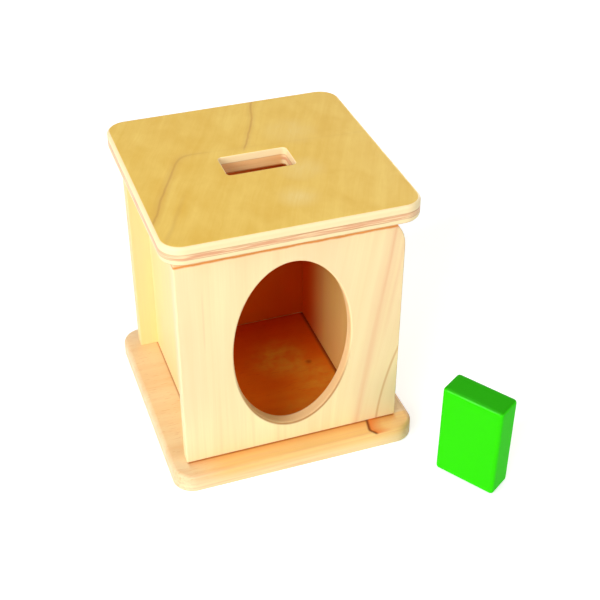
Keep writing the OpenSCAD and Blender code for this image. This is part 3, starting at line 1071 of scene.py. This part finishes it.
def thicken(bm, along):
    """Gives a flat sheet of faces its thickness."""
    sheet = bmesh.ops.extrude_face_region(bm, geom=bm.faces[:])
    moved = [g for g in sheet["geom"] if isinstance(g, bmesh.types.BMVert)]
    bmesh.ops.translate(bm, vec=along, verts=moved)


# %% [markdown]
# ## The front panel
#
# An upright board with the oval opening that a hand reaches through. Its upper right corner is well
# rounded and the left one nearly square. The opening's edge is rounded more than the board's own
# edges, because small wrists rub on it.

# %% Front panel
PANEL_RIGHT_MM, PANEL_LEFT_MM = 20.0, 2.0
PANEL_ARRIS_MM = 0.8
OPENING_ARRIS_MM = 1.2
RIM_REACH = 1.05
UPRIGHT = Matrix.Rotation(math.radians(90), 4, "X")


def panel_sheet(bm, node_name):
    """Draws a panel's outline on its front face, and returns the face and the panel's box."""
    low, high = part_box(node_name)
    middle = Vector((0, low.y, (low.z + high.z) / 2))
    size = Matrix.Diagonal((high.x - low.x, high.z - low.z, 1, 1))

    def upper_corner(place):
        if place.z < middle.z:
            return 0.0
        return PANEL_RIGHT_MM if place.x > 0 else PANEL_LEFT_MM

    matrix = Matrix.Translation(middle) @ UPRIGHT @ size
    face = rounded_outline(bm, matrix, upper_corner, segments=10, spacing_mm=5.0)
    return face, low, high


bm = bmesh.new()
face, low, high = panel_sheet(bm, "front_panel")
outline = face.edges[:]
bmesh.ops.delete(bm, geom=[face], context="FACES_ONLY")
opening_middle = Vector((0, low.y, low.z + (OPENING_FOOT_MM + OPENING_H_MM / 2) * MM))
opening_size = Matrix.Diagonal((OPENING_W_MM / 2 * MM, OPENING_H_MM / 2 * MM, 1, 1))
ring = bmesh.ops.create_circle(
    bm, cap_ends=False, segments=len(outline), radius=1.0,
    matrix=Matrix.Translation(opening_middle) @ UPRIGHT @ opening_size,
)
opening = list({e for v in ring["verts"] for e in v.link_edges})
bmesh.ops.bridge_loops(bm, edges=outline + opening)
thicken(bm, (0, high.y - low.y, 0))


def at_opening(edge):
    """Is an edge on the rim of the opening?"""
    offsets = [v.co - opening_middle for v in edge.verts]
    shares = [Vector((o.x / opening_size[0][0], o.z / opening_size[1][1])) for o in offsets]
    return all(share.length_squared < RIM_REACH for share in shares)


round_edges(bm, [e for e in sharp_edges(bm) if at_opening(e)], OPENING_ARRIS_MM, 5)
round_edges(bm, [e for e in sharp_edges(bm) if not at_opening(e)], PANEL_ARRIS_MM, 3)
make_piece(bm, "front_panel", "box", panel_birch)

# %% [markdown]
# ## The other walls
#
# The back panel has the same outline without the opening. The side walls are plain boards that stand
# between the panels, set in from their edges.

# %% Back panel and side walls
WALL_ARRIS_MM = 0.4

bm = bmesh.new()
face, low, high = panel_sheet(bm, "back_panel")
thicken(bm, (0, high.y - low.y, 0))
round_edges(bm, sharp_edges(bm), PANEL_ARRIS_MM, 3)
make_piece(bm, "back_panel", "box", wall_birch)

for wall in ("left_wall", "right_wall"):
    bm, low, high = node_block(wall)
    round_edges(bm, bm.edges[:], WALL_ARRIS_MM, 2)
    make_piece(bm, wall, "box", wall_birch)

# %% [markdown]
# ## The top plate
#
# Two rounded rectangles, the plate and the slot, bridged and thickened. The plate's arrises are well
# rounded over, which cuts through the golden sheet and shows the cream ply under it.

# %% Top plate
TOP_CORNER_MM = 12.0
TOP_ARRIS_MM = 2.0
SLOT_CORNER_MM = 2.5
SLOT_ARRIS_MM = 0.6

low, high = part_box("top_plate")
middle = Vector((0, 0, low.z))
bm = bmesh.new()
face = rounded_outline(
    bm, Matrix.Translation(middle) @ Matrix.Diagonal((high.x - low.x, high.y - low.y, 1, 1)),
    lambda corner: TOP_CORNER_MM, segments=12, spacing_mm=10.0,
)
outline = face.edges[:]
bmesh.ops.delete(bm, geom=[face], context="FACES_ONLY")
face = rounded_outline(
    bm, Matrix.Translation(middle) @ Matrix.Diagonal((SLOT_W_MM * MM, SLOT_D_MM * MM, 1, 1)),
    lambda corner: SLOT_CORNER_MM, segments=5, spacing_mm=2.0,
)
slot_edges = face.edges[:]
bmesh.ops.delete(bm, geom=[face], context="FACES_ONLY")
bmesh.ops.bridge_loops(bm, edges=outline + slot_edges)
thicken(bm, (0, 0, high.z - low.z))


def at_slot(edge):
    """Is an edge on the rim of the slot?"""
    return all(abs(v.co.x) < SLOT_W_MM * MM and abs(v.co.y) < SLOT_D_MM * MM for v in edge.verts)


round_edges(bm, [e for e in sharp_edges(bm) if at_slot(e)], SLOT_ARRIS_MM, 4)
round_edges(bm, [e for e in sharp_edges(bm) if not at_slot(e)], TOP_ARRIS_MM, 6)
make_piece(bm, "top_plate", "box", plywood)

# %% [markdown]
# ## The block
#
# A plain block with every edge rounded, standing on the table in front of the box and turned away from
# it. Its place and height come from the CAD parts and its width and thickness are given here, and it is
# turned inside its mesh, because a finished piece keeps its object unturned.

# %% Block
BLOCK_W_MM, BLOCK_T_MM = 37.5, 17.0
BLOCK_TURN = math.radians(-57.0)
BLOCK_EDGE_MM = 2.2

low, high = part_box("block")
bm = bmesh.new()
size = Matrix.Diagonal((BLOCK_W_MM * MM, BLOCK_T_MM * MM, high.z - low.z, 1))
bmesh.ops.create_cube(
    bm, size=1.0,
    matrix=Matrix.Translation((low + high) / 2) @ Matrix.Rotation(BLOCK_TURN, 4, "Z") @ size,
)
round_edges(bm, bm.edges[:], BLOCK_EDGE_MM, 6)
make_piece(bm, "block", "block", block_green)

# %% [markdown]
# ## The stage
#
# The box stands on a sheet of white paper, in an even white surround. The camera sees both as white, also
# far off where the lamps hardly reach, because the paper glows a little for the rays that the camera
# sends and for those that gloss sends on. It doesn't light the box that way, and still takes the soft
# shadow. More lamps would whiten the paper as well, but would bleach the wood.

# %% Floor and surround
def seen_or_mirrored(tree):
    """1 for rays from the camera, and for rays that gloss or glass sends on, else 0."""
    rays = add(tree, "LightPath")
    sent_on = add(tree, "Math", {
        0: rays.outputs["Is Glossy Ray"], 1: rays.outputs["Is Transmission Ray"],
    }, operation="MAXIMUM")
    return add(tree, "Math", {0: rays.outputs["Is Camera Ray"], 1: sent_on}, operation="MAXIMUM")


PAPER = "#e2e2e0"
WHITE = "#ffffff"
FLOOR_SIZE = 6.0
FLOOR_LIFT, FAR_FLOOR_LIFT = 0.58, 0.95
LIFT_FROM, LIFT_TO = 0.3, 1.5
SURROUND_LIGHT = 0.2

floor_material = bpy.data.materials.new("table_white_paper")
floor_material.use_nodes = True
tree = floor_material.node_tree
tree.nodes.clear()
paper = add(tree, "BsdfDiffuse", {"Color": linear(PAPER)})
reach = add(tree, "VectorMath", {0: add(tree, "TexCoord").outputs["Object"]}, operation="LENGTH")
lift = add(tree, "MapRange", {
    "Value": reach.outputs["Value"], "From Min": LIFT_FROM, "From Max": LIFT_TO,
    "To Min": FLOOR_LIFT, "To Max": FAR_FLOOR_LIFT,
})
glow = add(tree, "Emission", {"Color": linear(WHITE), "Strength": add(tree, "Math", {
    0: seen_or_mirrored(tree), 1: lift,
}, operation="MULTIPLY")})
add(tree, "OutputMaterial", {"Surface": add(tree, "AddShader", {0: paper, 1: glow})})

bm = bmesh.new()
bmesh.ops.create_grid(bm, x_segments=1, y_segments=1, size=FLOOR_SIZE / 2)
floor_mesh = bpy.data.meshes.new("table")
bm.to_mesh(floor_mesh)
bm.free()
floor_mesh.materials.append(floor_material)
floor = bpy.data.objects.new("table", floor_mesh)
bpy.context.scene.collection.objects.link(floor)

world = bpy.data.worlds.new("surround")
bpy.context.scene.world = world
world.use_nodes = True
tree = world.node_tree
tree.nodes.clear()
lighting = add(tree, "Background", {"Color": linear(WHITE), "Strength": SURROUND_LIGHT})
seen = add(tree, "Background", {"Color": linear(WHITE), "Strength": 1.0})
mixed = add(tree, "MixShader", {0: seen_or_mirrored(tree), 1: lighting, 2: seen})
add(tree, "OutputWorld", {"Surface": mixed})
print("table of", FLOOR_SIZE, "m")

# %% [markdown]
# ### The lamps
#
# Soft light comes from large lamps: the main one from the front left, a tall strip at the left that draws
# the bright line on the block, weaker ones from the front right and from behind, and a small one
# overhead. Together they are just bright enough that a colour looks as it is written.

# %% Lamps
def lamp(name, place_mm, aim_mm, size_mm, watts):
    """A soft lamp at a place, aimed at a point, with a width and a height."""
    data = bpy.data.lights.new(name, "AREA")
    data.energy = watts
    data.shape = "RECTANGLE"
    data.size, data.size_y = size_mm[0] * MM, size_mm[1] * MM
    made = bpy.data.objects.new(name, data)
    bpy.context.scene.collection.objects.link(made)
    made.location = Vector(place_mm) * MM
    made.rotation_euler = (Vector(aim_mm) - Vector(place_mm)).to_track_quat("-Z", "Y").to_euler()
    print(name, watts, "W")


lamp("key_front_left", (-1200, -1179, 754), (0, -20, 80), (900, 900), 19.4)
lamp("strip_left", (-1333, -387, 736), (40, -60, 70), (90, 900), 8.0)
lamp("fill_front_right", (846, -1485, 696), (0, -20, 80), (700, 700), 8.0)
lamp("fill_back_right", (1200, 1100, 500), (0, 0, 80), (900, 900), 12.0)
lamp("overhead", (-20, 20, 570), (0, 0, 150), (220, 220), 0.42)

bpy.context.scene.view_settings.view_transform = "Standard"
